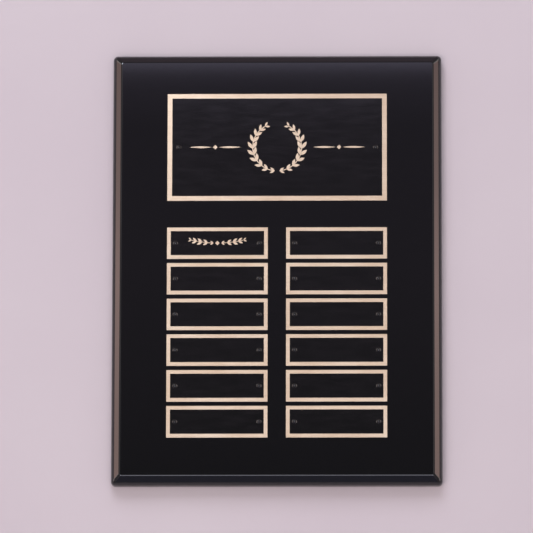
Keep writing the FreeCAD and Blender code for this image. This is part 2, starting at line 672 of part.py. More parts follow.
NAME_PLATE_COUNT = PLATE_COLUMNS * PLATE_ROWS

pieces = [(make_board(), 1)]
pieces.append((make_plate(
    "header_plate", HEADER_WIDTH, "sizes.header_height", "sizes.header_pin_inset", "0",
    HEADER_CENTRE_UP), 1))
pieces.append((make_enamel(
    "header_plate_enamel", HEADER_WIDTH, "sizes.header_height", "sizes.header_border",
    "sizes.header_pin_inset", "0", HEADER_CENTRE_UP), 1))
pieces.extend((plate, 1) for plate in make_name_plates())
pieces.append((make_enamel(
    "name_plate_enamel", "sizes.name_plate_width", "sizes.name_plate_height",
    "sizes.name_plate_border", "sizes.pin_inset", LEFT_COLUMN_ACROSS, BOTTOM_ROW_UP,
    NAME_PLATES), NAME_PLATE_COUNT))
pieces.append((make_pins(
    "header_plate_pins", f"-{HEADER_PIN_SPAN} / 2", HEADER_CENTRE_UP, HEADER_PLATE_PINS),
    PINS_PER_PLATE))
pieces.append((make_pins(
    "name_plate_pins", FIRST_PIN_ACROSS, BOTTOM_ROW_UP, NAME_PLATE_PINS),
    PINS_PER_PLATE * NAME_PLATE_COUNT))
pieces.append((make_keyhole_hanger(), 1))
pieces.append((make_hanger_screws(), PINS_PER_PLATE))
doc.recompute()
check_model(pieces)
export_pieces(pieces)
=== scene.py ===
"""Looks of a perpetual plaque: a black lacquered board with brass plates pinned to it.

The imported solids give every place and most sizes. The board and the enamel on the plates
keep their solids and get their finish here. The brass plates, the domed pins, the keyhole
hanger and its screws are made again with the eased edges, round domes and threads that
their solids leave out, and the engraving of the plates is added.
"""

import json
import logging
import math
from dataclasses import dataclass
from enum import Enum
from typing import Any, Callable, Sequence

import bmesh
import bpy
from mathutils import Matrix, Vector

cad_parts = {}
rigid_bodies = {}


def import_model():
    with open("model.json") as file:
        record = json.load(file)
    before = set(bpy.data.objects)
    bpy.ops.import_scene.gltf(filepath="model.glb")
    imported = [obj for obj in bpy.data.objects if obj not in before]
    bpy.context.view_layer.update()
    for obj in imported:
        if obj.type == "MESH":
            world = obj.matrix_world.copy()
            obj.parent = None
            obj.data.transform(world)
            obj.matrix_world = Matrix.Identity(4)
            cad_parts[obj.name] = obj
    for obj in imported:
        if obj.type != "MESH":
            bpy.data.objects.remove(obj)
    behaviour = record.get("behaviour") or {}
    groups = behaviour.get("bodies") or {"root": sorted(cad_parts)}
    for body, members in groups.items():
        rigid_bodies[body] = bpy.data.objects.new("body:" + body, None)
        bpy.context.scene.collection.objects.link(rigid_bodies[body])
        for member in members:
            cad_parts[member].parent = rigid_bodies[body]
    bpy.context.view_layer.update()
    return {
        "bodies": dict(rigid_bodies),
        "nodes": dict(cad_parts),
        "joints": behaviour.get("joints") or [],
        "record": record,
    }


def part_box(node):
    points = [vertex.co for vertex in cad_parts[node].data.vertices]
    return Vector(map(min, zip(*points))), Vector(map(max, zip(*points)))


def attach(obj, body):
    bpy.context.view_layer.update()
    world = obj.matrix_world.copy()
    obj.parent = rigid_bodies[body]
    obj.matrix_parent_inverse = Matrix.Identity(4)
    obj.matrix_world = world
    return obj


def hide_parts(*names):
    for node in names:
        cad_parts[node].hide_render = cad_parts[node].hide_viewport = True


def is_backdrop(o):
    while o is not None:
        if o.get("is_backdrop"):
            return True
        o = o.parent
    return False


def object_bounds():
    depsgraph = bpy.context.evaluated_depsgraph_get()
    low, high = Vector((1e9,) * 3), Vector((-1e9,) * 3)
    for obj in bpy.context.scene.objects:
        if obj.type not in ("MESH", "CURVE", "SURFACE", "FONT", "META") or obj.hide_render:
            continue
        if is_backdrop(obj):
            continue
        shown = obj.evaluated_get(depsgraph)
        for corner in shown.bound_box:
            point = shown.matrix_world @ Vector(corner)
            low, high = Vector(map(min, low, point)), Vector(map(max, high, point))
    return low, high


# A ramp's places from 0 to 1, each with its sRGB colour.
Tones = tuple[tuple[float, str], ...]

MM = 0.001
PHOTO_WIDTH = 533.0
SENSOR_WIDTH = 36.0
TO_FRONT = Matrix.Rotation(math.radians(90.0), 4, "X")
# Corners nearer to each other than this are one.
MERGE_GAP = 1e-7
# An edge that turns by more degrees than this stays sharp.
SHARP_ANGLE = 30.0
# How many faces an eased edge has.
EASE_STEPS = 2
# Most values of a noise lie between these.
NOISE_RANGE = {"From Min": 0.3, "From Max": 0.7}
# What the tree of pairs and rows is given for one shape alone.
ALONE = {"Pair Spread": 0.0, "Pair Count": 1, "Columns": 1, "Rows": 1,
         "Column Pitch": 0.0, "Row Pitch": 0.0, "Lean": 0.0, "Seed": 0}

logging.basicConfig(level=logging.INFO, format="%(name)s: %(message)s")
LOG = logging.getLogger("plaque")


class Slot(Enum):
    """Names of three of the record's material slots, which this script doesn't use."""

    BRASS = "brass"
    PIN = "black_pin"
    ZINC = "zinc_steel"


def linear(colour: str, alpha: float = 1.0) -> tuple[float, float, float, float]:
    """Turns an sRGB hex colour into linear light.

    Args:
        colour: The colour as "#rrggbb".
        alpha: The fourth value.

    Returns:
        Red, green and blue in linear light, and alpha.
    """
    shares = [int(colour[start:start + 2], 16) / 255.0 for start in (1, 3, 5)]
    light = [share / 12.92 if share <= 0.04045 else ((share + 0.055) / 1.055) ** 2.4
             for share in shares]
    return (light[0], light[1], light[2], alpha)


def add_node(tree: bpy.types.NodeTree, kind: str, inputs: dict[Any, Any] | None = None,
             **settings: Any) -> bpy.types.Node:
    """Adds a node with its settings, values and links.

    Args:
        tree: The tree that the node goes into.
        kind: The node's type.
        inputs: A value, or the output socket to link from, by the input's name or number.
        settings: The node's own properties.

    Returns:
        The new node.
    """
    node = tree.nodes.new(kind)
    for name, value in settings.items():
        setattr(node, name, value)
    for socket, value in (inputs or {}).items():
        if isinstance(value, bpy.types.NodeSocket):
            tree.links.new(value, node.inputs[socket])
        else:
            node.inputs[socket].default_value = value
    return node


def set_ramp(node: bpy.types.Node, stops: Sequence[tuple[float, Any]]) -> None:
    """Gives a colour ramp its stops.

    Args:
        node: The colour ramp node.
        stops: Each stop's place from 0 to 1, in order, and its colour, which is an sRGB
            hex colour or four values in linear light.
    """
    elements = node.color_ramp.elements
    while len(elements) > 1:
        elements.remove(elements[-1])
    for number, (place, colour) in enumerate(stops):
        element = elements.new(place) if number else elements[0]
        element.position = place
        element.color = linear(colour) if isinstance(colour, str) else colour


def new_material(name: str) -> tuple[bpy.types.Material, bpy.types.NodeTree, bpy.types.Node]:
    """Makes an empty material.

    Args:
        name: The material's name.

    Returns:
        The material, its tree and its output node.
    """
    material = bpy.data.materials.new(name)
    material.use_nodes = True
    tree = material.node_tree
    tree.nodes.clear()
    return material, tree, add_node(tree, "ShaderNodeOutputMaterial")


def set_surface(tree: bpy.types.NodeTree, output: bpy.types.Node, wear: bpy.types.NodeSocket,
                roughness: tuple[float, float], relief: bpy.types.NodeSocket, depth: float,
                inputs: dict[str, Any]) -> None:
    """Ends a material with a surface whose roughness and height follow patterns.

    Args:
        tree: The material's tree.
        output: Its output node.
        wear: The pattern that the roughness follows.
        roughness: The roughness where that pattern is low and where it is high.
        relief: The pattern that the height follows.
        depth: How high the relief is.
        inputs: The shader's other inputs.
    """
    rough = add_node(tree, "ShaderNodeMapRange", {
        "Value": wear, **NOISE_RANGE, "To Min": roughness[0], "To Max": roughness[1]})
    bump = add_node(tree, "ShaderNodeBump", {"Height": relief, "Distance": depth})
    shader = add_node(tree, "ShaderNodeBsdfPrincipled", {
        **inputs, "Roughness": rough.outputs["Result"], "Normal": bump.outputs["Normal"]})
    tree.links.new(shader.outputs[0], output.inputs["Surface"])


# Finishes


@dataclass(frozen=True)
class PianoLacquer:
    """Black polyester lacquer, sprayed on wood fibre board and polished.

    It looks wet: a near black with a sharp reflection, which a faint orange peel
    unsettles. The back, which lies against the wall, gets one thin matt coat, and the
    fibre of the board shows through it as a fine grain.
    """

    colour: str = "#0f0f11"
    back_tones: Tones = ((0.4, "#0f0e0d"), (0.62, "#34312c"))
    ior: float = 1.52
    roughness: tuple[float, float] = (0.036, 0.0585)
    back_roughness: float = 0.62
    peel_width: float = 5.0 * MM
    peel_depth: float = 0.0012 * MM
    dust_width: float = 1.1 * MM
    # Wood fibres are about 0.1 mm wide, too fine to show, so they are drawn this coarse.
    fibre_width: float = 1.3 * MM
    fibre_depth: float = 0.16 * MM
    back_y: float = -0.35 * MM

    def make(self) -> bpy.types.Material:
        """Makes the material.

        Returns:
            The material.
        """
        material, tree, output = new_material("black_polyester_lacquer")
        place = add_node(tree, "ShaderNodeTexCoord").outputs["Object"]
        axes = add_node(tree, "ShaderNodeSeparateXYZ", {"Vector": place})
        back = add_node(tree, "ShaderNodeMath", {0: axes.outputs["Y"], 1: self.back_y},
                        operation="GREATER_THAN").outputs[0]
        fibre = add_node(tree, "ShaderNodeTexNoise", {
            "Vector": place, "Scale": 1.0 / self.fibre_width, "Detail": 3.0})
        peel = add_node(tree, "ShaderNodeTexNoise", {
            "Vector": place, "Scale": 1.0 / self.peel_width, "Detail": 1.0,
            "Roughness": 0.4})
        haze = add_node(tree, "ShaderNodeTexNoise", {
            "Vector": place, "Scale": 1.0 / self.dust_width, "Detail": 2.0})
        back_tone = add_node(tree, "ShaderNodeValToRGB", {"Fac": fibre.outputs["Fac"]})
        set_ramp(back_tone, self.back_tones)
        tone = add_node(tree, "ShaderNodeMix", {
            "Factor": back, "A": linear(self.colour), "B": back_tone.outputs["Color"]},
            data_type="RGBA")
        gloss = add_node(tree, "ShaderNodeMapRange", {
            "Value": haze.outputs["Fac"], **NOISE_RANGE,
            "To Min": self.roughness[0], "To Max": self.roughness[1]})
        rough = add_node(tree, "ShaderNodeMix", {
            "Factor": back, "A": gloss.outputs["Result"], "B": self.back_roughness},
            data_type="FLOAT")
        smooth_bump = add_node(tree, "ShaderNodeBump", {
            "Height": peel.outputs["Fac"], "Distance": self.peel_depth})
        fibre_bump = add_node(tree, "ShaderNodeBump", {
            "Height": fibre.outputs["Fac"], "Distance": self.fibre_depth,
            "Strength": back, "Normal": smooth_bump.outputs["Normal"]})
        shader = add_node(tree, "ShaderNodeBsdfPrincipled", {
            "Base Color": tone.outputs[2], "Roughness": rough.outputs[0],
            "IOR": self.ior, "Normal": fibre_bump.outputs["Normal"]})
        tree.links.new(shader.outputs[0], output.inputs["Surface"])
        return material


@dataclass(frozen=True)
class SatinBrass:
    """Sheet brass, brushed lengthways, under a thin clear lacquer.

    It gives a pale, warm gold with no clear reflection. The brushed lines lie along the
    plates, and each plate is a little lighter or darker than the next.
    """

    tones: Tones = ((0.36, "#ead2b4"), (0.64, "#f8e6cc"))
    roughness: tuple[float, float] = (0.5, 0.62)
    # Brush lines are about 0.05 mm wide, too fine to show, so they are drawn this coarse.
    line_width: float = 0.8 * MM
    line_length: float = 12.0 * MM
    line_depth: float = 0.055 * MM
    tone_width: float = 34.0 * MM

    def make(self) -> bpy.types.Material:
        """Makes the material.

        Returns:
            The material.
        """
        material, tree, output = new_material("satin_brushed_brass")
        place = add_node(tree, "ShaderNodeTexCoord").outputs["Object"]
        grain_place = add_node(tree, "ShaderNodeMapping", {
            "Vector": place, "Scale": (1.0 / self.line_length, 1.0 / self.line_width,
                                       1.0 / self.line_width)})
        grain = add_node(tree, "ShaderNodeTexNoise", {
            "Vector": grain_place.outputs["Vector"], "Scale": 1.0, "Detail": 4.0,
            "Roughness": 0.65})
        patch = add_node(tree, "ShaderNodeTexNoise", {
            "Vector": place, "Scale": 1.0 / self.tone_width, "Detail": 2.0})
        blend = add_node(tree, "ShaderNodeMath", {
            0: patch.outputs["Fac"], 1: grain.outputs["Fac"]}, operation="ADD")
        tone = add_node(tree, "ShaderNodeValToRGB", {
            "Fac": add_node(tree, "ShaderNodeMath", {0: blend.outputs[0], 1: 0.5},
                            operation="MULTIPLY").outputs[0]})
        set_ramp(tone, self.tones)
        set_surface(tree, output, grain.outputs["Fac"], self.roughness,
                    grain.outputs["Fac"], self.line_depth, {
            "Base Color": tone.outputs["Color"], "Metallic": 1.0})
        return material


@dataclass(frozen=True)
class ScreenedEnamel:
    """Black enamel, screened onto the brass and stoved.

    It is a black with a softer gloss than the board's and faint rub marks. It has the
    pebble of printed paint too, which is so low that it doesn't show.
    """

    tones: Tones = ((0.4, "#101011"), (0.75, "#171618"))
    ior: float = 1.5
    roughness: tuple[float, float] = (0.08, 0.13)
    # The pebble is about 0.2 mm wide. It is drawn this coarse, and even so it doesn't show.
    pebble_width: float = 1.1 * MM
    pebble_depth: float = 0.008 * MM
    rub_width: float = 6.0 * MM
    rub_stretch: tuple[float, float, float] = (0.35, 1.0, 1.6)
    rub_turn: float = math.radians(24.0)

    def make(self) -> bpy.types.Material:
        """Makes the material.

        Returns:
            The material.
        """
        material, tree, output = new_material("black_stoved_enamel")
        place = add_node(tree, "ShaderNodeTexCoord").outputs["Object"]
        pebble = add_node(tree, "ShaderNodeTexNoise", {
            "Vector": place, "Scale": 1.0 / self.pebble_width, "Detail": 2.0})
        rub_place = add_node(tree, "ShaderNodeMapping", {
            "Vector": place, "Rotation": (0.0, self.rub_turn, 0.0),
            "Scale": tuple(share / self.rub_width for share in self.rub_stretch)})
        rub = add_node(tree, "ShaderNodeTexNoise", {
            "Vector": rub_place.outputs["Vector"], "Scale": 1.0, "Detail": 5.0,
            "Roughness": 0.6})
        tone = add_node(tree, "ShaderNodeValToRGB", {"Fac": rub.outputs["Fac"]})
        set_ramp(tone, self.tones)
        set_surface(tree, output, rub.outputs["Fac"], self.roughness,
                    pebble.outputs["Fac"], self.pebble_depth, {
            "Base Color": tone.outputs["Color"], "IOR": self.ior})
        return material


@dataclass(frozen=True)
class LacqueredPin:
    """A steel pin, dipped in black lacquer.

    The eye gets a small black bead with a bright spark on each side.
    """

    colour: str = "#100f0f"
    ior: float = 1.52
    roughness: tuple[float, float] = (0.08, 0.14)
    run_width: float = 0.8 * MM
    run_depth: float = 0.012 * MM

    def make(self) -> bpy.types.Material:
        """Makes the material.

        Returns:
            The material.
        """
        material, tree, output = new_material("black_lacquered_steel")
        place = add_node(tree, "ShaderNodeTexCoord").outputs["Object"]
        runs = add_node(tree, "ShaderNodeTexNoise", {
            "Vector": place, "Scale": 1.0 / self.run_width, "Detail": 2.0})
        set_surface(tree, output, runs.outputs["Fac"], self.roughness,
                    runs.outputs["Fac"], self.run_depth, {
            "Base Color": linear(self.colour), "IOR": self.ior})
        return material


@dataclass(frozen=True)
class ZincPlate:
    """Pressed steel with bright zinc plating.

    It is a cool grey metal, clouded by the plating bath and rolled one way. Shade is painted
    into what lies below its surface, such as the slots of the screws: the colour darkens with
    depth.
    """

    name: str = "zinc_plated_steel"
    tones: Tones = ((0.27, "#8b8e93"), (0.58, "#c4c6c9"))
    # A dark colour painted in as shade where the surface lies deeper, as in the screw slots.
    recess_shade_colour: str = "#1f1c1a"
    roughness: tuple[float, float] = (0.24, 0.5)
    # The painted shade starts at the first depth below the surface and is full at the second.
    shade_start_depth: float = 0.12 * MM
    full_shade_depth: float = 0.5 * MM
    cloud_width: float = 5.0 * MM
    # Roll lines are about 0.05 mm wide, too fine to show, so they are drawn this coarse.
    roll_width: float = 0.8 * MM
    roll_length: float = 16.0 * MM
    roll_depth: float = 0.05 * MM
    streak: float = 0.5

    def make(self) -> bpy.types.Material:
        """Makes the material.

        Returns:
            The material.
        """
        material, tree, output = new_material(self.name)
        place = add_node(tree, "ShaderNodeTexCoord").outputs["Object"]
        # Painted shade: a share that falls from 1 at the surface to 0 deeper in recesses.
        unshaded = add_node(tree, "ShaderNodeMapRange", {
            "Value": add_node(tree, "ShaderNodeSeparateXYZ", {"Vector": place}).outputs["Y"],
            "From Min": -self.full_shade_depth, "From Max": -self.shade_start_depth})
        cloud = add_node(tree, "ShaderNodeTexVoronoi", {
            "Vector": place, "Scale": 1.0 / self.cloud_width, "Randomness": 1.0})
        blur = add_node(tree, "ShaderNodeTexNoise", {
            "Vector": place, "Scale": 1.0 / self.cloud_width, "Detail": 3.0})
        blend = add_node(tree, "ShaderNodeMath", {
            0: cloud.outputs["Distance"], 1: blur.outputs["Fac"]}, operation="MULTIPLY")
        roll_place = add_node(tree, "ShaderNodeMapping", {
            "Vector": place, "Scale": (1.0 / self.roll_width, 1.0 / self.roll_width,
                                       1.0 / self.roll_length)})
        roll = add_node(tree, "ShaderNodeTexNoise", {
            "Vector": roll_place.outputs["Vector"], "Scale": 1.0, "Detail": 3.0})
        streaked = add_node(tree, "ShaderNodeMath", {
            0: roll.outputs["Fac"], 1: self.streak, 2: blend.outputs[0]},
            operation="MULTIPLY_ADD")
        tone = add_node(tree, "ShaderNodeValToRGB", {"Fac": streaked.outputs[0]})
        set_ramp(tone, self.tones)
        # Painted shade: the tone turns to the dark colour deeper in recesses.
        tone = add_node(tree, "ShaderNodeMix", {
            "Factor": unshaded.outputs["Result"], "A": linear(self.recess_shade_colour),
            "B": tone.outputs["Color"]}, data_type="RGBA")
        set_surface(tree, output, roll.outputs["Fac"], self.roughness,
                    roll.outputs["Fac"], self.roll_depth, {
            "Base Color": tone.outputs[2], "Metallic": 1.0})
        return material


@dataclass(frozen=True)
class StagePaint:
    """What the wall and the floor are covered with.

    It is pale and matt with a faint cloud in it. From behind it is clear, so that the
    plaque's back can be seen through the wall.
    """

    name: str
    tones: Tones
    clouds_per_metre: float
    cloud_detail: float
    roughness: float
    specular: float = 0.5

    def make(self) -> bpy.types.Material:
        """Makes the material.

        Returns:
            The material.
        """
        material, tree, output = new_material(self.name)
        place = add_node(tree, "ShaderNodeTexCoord").outputs["Object"]
        cloud = add_node(tree, "ShaderNodeTexNoise", {
            "Vector": place, "Scale": self.clouds_per_metre, "Detail": self.cloud_detail})
        tone = add_node(tree, "ShaderNodeValToRGB", {"Fac": cloud.outputs["Fac"]})
        set_ramp(tone, self.tones)
        paint = add_node(tree, "ShaderNodeBsdfPrincipled", {
            "Base Color": tone.outputs["Color"], "Roughness": self.roughness,
            "Specular IOR Level": self.specular})
        clear = add_node(tree, "ShaderNodeBsdfTransparent")
        behind = add_node(tree, "ShaderNodeNewGeometry").outputs["Backfacing"]
        mix = add_node(tree, "ShaderNodeMixShader", {
            0: behind, 1: paint.outputs[0], 2: clear.outputs[0]})
        tree.links.new(mix.outputs[0], output.inputs["Surface"])
        return material


# Shapes, and the trees that repeat them


def link(name: str, mesh: bpy.types.Mesh) -> bpy.types.Object:
    """Puts a mesh into the scene.

    Args:
        name: The object's name.
        mesh: Its mesh.

    Returns:
        The object, at the origin.
    """
    mesh.name = name
    piece = bpy.data.objects.new(name, mesh)
    bpy.context.scene.collection.objects.link(piece)
    return piece


def coat(mesh: bpy.types.Mesh, material: bpy.types.Material) -> None:
    """Makes a material the only one of a mesh."""
    mesh.materials.clear()
    mesh.materials.append(material)


def to_mesh(form: bmesh.types.BMesh, name: str,
            sharp_angle: float = SHARP_ANGLE) -> bpy.types.Mesh:
    """Turns an editable form into a shaded mesh and frees it.

    Args:
        form: The form.
        name: The mesh's name.
        sharp_angle: The angle in degrees past which an edge stays sharp.

    Returns:
        The mesh, smooth but for its sharp edges.
    """
    bmesh.ops.remove_doubles(form, verts=form.verts, dist=MERGE_GAP)
    bmesh.ops.recalc_face_normals(form, faces=form.faces)
    mesh = bpy.data.meshes.new(name)
    form.to_mesh(mesh)
    form.free()
    mesh.shade_smooth()
    mesh.set_sharp_from_angle(angle=math.radians(sharp_angle))
    return mesh


def lathe(profile: Sequence[tuple[float, float]], sides: int,
          swell: Callable[[float, float], float] = lambda height, turn: 0.0
          ) -> bmesh.types.BMesh:
    """Turns a profile about the Z axis.

    Args:
        profile: Radius and height of each ring, from one end on the axis to the other.
        sides: How many sides the round has.
        swell: What is added to the radius at a height and a share of the turn.

    Returns:
        The closed form.
    """
    form = bmesh.new()
    rings = []
    for ring_radius, height in profile:
        ring = []
        for share in (side / sides for side in range(sides)):
            radius = ring_radius + swell(height, share)
            turn = math.tau * share
            ring.append(form.verts.new((radius * math.cos(turn), radius * math.sin(turn),
                                        height)))
        rings.append(ring)
    for lower, upper in zip(rings, rings[1:]):
        for side in range(sides):
            after = (side + 1) % sides
            form.faces.new((lower[side], lower[after], upper[after], upper[side]))
    bmesh.ops.remove_doubles(form, verts=form.verts, dist=MERGE_GAP)
    return form


def ease(form: bmesh.types.BMesh, edges: Sequence[bmesh.types.BMEdge],
         round_size: float) -> None:
    """Eases edges of a form.

    Args:
        form: The form, which is changed.
        edges: The edges.
        round_size: How far they are eased.
    """
    bmesh.ops.bevel(form, geom=edges, offset=round_size, segments=EASE_STEPS, profile=0.5,
                    affect="EDGES", clamp_overlap=True)


def rounded_slab(width: float, height: float, depth: float,
                 round_size: float) -> bmesh.types.BMesh:
    """Makes a slab with eased edges, which stands on Z zero.

    Args:
        width: Its size along X.
        height: Its size along Y.
        depth: Its size along Z.
        round_size: How far its edges are eased.

    Returns:
        The form.
    """
    form = bmesh.new()
    middle = Matrix.Translation((0.0, 0.0, depth / 2.0))
    bmesh.ops.create_cube(form, size=1.0,
                          matrix=middle @ Matrix.Diagonal((width, height, depth, 1.0)))
    ease(form, list(form.edges), round_size)
    return form


def prism(outline: Sequence[tuple[float, float]], depth: float) -> bmesh.types.BMesh:
    """Raises a flat outline to both sides of the XY plane.

    Args:
        outline: Its corners, anticlockwise.
        depth: Its whole size along Z.

    Returns:
        The closed form.
    """
    form = bmesh.new()
    upper = [form.verts.new((x, y, depth / 2.0)) for x, y in outline]
    lower = [form.verts.new((x, y, -depth / 2.0)) for x, y in outline]
    form.faces.new(upper)
    form.faces.new(list(reversed(lower)))
    for index, corner in enumerate(lower):
        after = (index + 1) % len(outline)
        form.faces.new((corner, lower[after], upper[after], upper[index]))
    return form


def lens(start: float, length: float, width: float, steps: int) -> list[tuple[float, float]]:
    """Draws a shape along X that swells from a point and narrows to a point again.

    Args:
        start: Where it starts on the X axis.
        length: Its size along X.
        width: Its size along Y in the middle.
        steps: How many edges each side has.

    Returns:
        Its corners, anticlockwise.
    """
    side = [(start + length * step / steps, width / 2.0 * math.sin(math.pi * step / steps))
            for step in range(steps + 1)]
    return [(x, -y) for x, y in side] + [(x, y) for x, y in reversed(side[1:-1])]


def join(meshes: Sequence[bpy.types.Mesh], name: str) -> bpy.types.Mesh:
    """Joins meshes into one.

    Args:
        meshes: The meshes, which stay separate shells in it.
        name: The new mesh's name.

    Returns:
        The new mesh.
    """
    form = bmesh.new()
    for mesh in meshes:
        form.from_mesh(mesh)
    return to_mesh(form, name)


def open_tree(name: str, sockets: Sequence[tuple[str, str]]
              ) -> tuple[bpy.types.NodeTree, bpy.types.Node]:
    """Starts a geometry tree with named inputs and one geometry output.

    Args:
        name: The tree's name.
        sockets: The name and socket type of each input.

    Returns:
        The tree and its input node.
    """
    tree = bpy.data.node_groups.new(name, "GeometryNodeTree")
    for label, kind in sockets:
        tree.interface.new_socket(name=label, in_out="INPUT", socket_type=kind)
    tree.interface.new_socket(name="Result", in_out="OUTPUT",
                              socket_type="NodeSocketGeometry")
    return tree, add_node(tree, "NodeGroupInput")


def close_tree(tree: bpy.types.NodeTree, given: bpy.types.Node,
               shape: bpy.types.NodeSocket) -> bpy.types.NodeTree:
    """Ends a geometry tree: what it made becomes real and gets its material.

    Args:
        tree: The tree.
        given: Its input node, which has a Material.
        shape: The socket with the finished shape.

    Returns:
        The tree.
    """
    real = add_node(tree, "GeometryNodeRealizeInstances", {"Geometry": shape})
    dressed = add_node(tree, "GeometryNodeSetMaterial", {
        "Geometry": real.outputs[0], "Material": given.outputs["Material"]})
    add_node(tree, "NodeGroupOutput", {0: dressed.outputs[0]})
    return tree


def grow(name: str, base: bpy.types.Mesh, tree: bpy.types.NodeTree,
         inputs: dict[str, Any]) -> bpy.types.Mesh:
    """Runs a geometry tree on a mesh and keeps the result as a plain mesh.

    Args:
        name: The new mesh's name.
        base: The mesh that the tree starts from.
        tree: The tree.
        inputs: A value for each named input.

    Returns:
        The plain mesh.
    """
    maker = link(f"{name}_maker", base)
    modifier = maker.modifiers.new("maker", "NODES")
    modifier.node_group = tree
    for item in tree.interface.items_tree:
        if item.in_out == "INPUT" and item.name in inputs:
            modifier[item.identifier] = inputs[item.name]
    graph = bpy.context.evaluated_depsgraph_get()
    mesh = bpy.data.meshes.new_from_object(maker.evaluated_get(graph),
                                           preserve_all_data_layers=True, depsgraph=graph)
    maker.modifiers.remove(modifier)
    bpy.data.objects.remove(maker)
    mesh.name = name
    coat(mesh, inputs["Material"])
    return mesh


def pairs_in_rows_tree() -> bpy.types.NodeTree:
    """Makes the tree that repeats a shape in pairs, over columns and rows of plates.

    The shape stands up along Z and the rows lie in the XY plane.

    Returns:
        The tree.
    """
    tree, given = open_tree("pairs_in_rows", [
        ("Geometry", "NodeSocketGeometry"), ("Pair Spread", "NodeSocketFloat"),
        ("Pair Count", "NodeSocketInt"), ("Columns", "NodeSocketInt"),
        ("Rows", "NodeSocketInt"), ("Column Pitch", "NodeSocketFloat"),
        ("Row Pitch", "NodeSocketFloat"), ("Lean", "NodeSocketFloat"),
        ("Seed", "NodeSocketInt"), ("Material", "NodeSocketMaterial")])
    half = add_node(tree, "ShaderNodeMath", {0: given.outputs["Pair Spread"], 1: -0.5},
                    operation="MULTIPLY")
    start = add_node(tree, "ShaderNodeCombineXYZ", {"X": half.outputs[0]})
    step = add_node(tree, "ShaderNodeCombineXYZ", {"X": given.outputs["Pair Spread"]})
    pair = add_node(tree, "GeometryNodeMeshLine", {
        "Count": given.outputs["Pair Count"], "Start Location": start.outputs[0],
        "Offset": step.outputs[0]})
    sizes = []
    for count, pitch in (("Columns", "Column Pitch"), ("Rows", "Row Pitch")):
        gaps = add_node(tree, "ShaderNodeMath", {0: given.outputs[count], 1: 1.0},
                        operation="SUBTRACT")
        sizes.append(add_node(tree, "ShaderNodeMath", {
            0: given.outputs[pitch], 1: gaps.outputs[0]}, operation="MULTIPLY").outputs[0])
    plates = add_node(tree, "GeometryNodeMeshGrid", {
        "Size X": sizes[0], "Size Y": sizes[1],
        "Vertices X": given.outputs["Columns"], "Vertices Y": given.outputs["Rows"]})
    points = add_node(tree, "GeometryNodeInstanceOnPoints", {
        "Points": plates.outputs["Mesh"], "Instance": pair.outputs["Mesh"]})
    flat = add_node(tree, "GeometryNodeRealizeInstances", {
        "Geometry": points.outputs["Instances"]})
    most = add_node(tree, "ShaderNodeCombineXYZ", {
        "X": given.outputs["Lean"], "Y": given.outputs["Lean"]})
    least = add_node(tree, "ShaderNodeVectorMath", {0: most.outputs[0], "Scale": -1.0},
                     operation="SCALE")
    lean = add_node(tree, "FunctionNodeRandomValue", {
        "Min": least.outputs[0], "Max": most.outputs[0], "Seed": given.outputs["Seed"]},
        data_type="FLOAT_VECTOR")
    turned = add_node(tree, "FunctionNodeEulerToRotation", {"Euler": lean.outputs[0]})
    placed = add_node(tree, "GeometryNodeInstanceOnPoints", {
        "Points": flat.outputs[0], "Instance": given.outputs["Geometry"],
        "Rotation": turned.outputs[0]})
    return close_tree(tree, given, placed.outputs["Instances"])


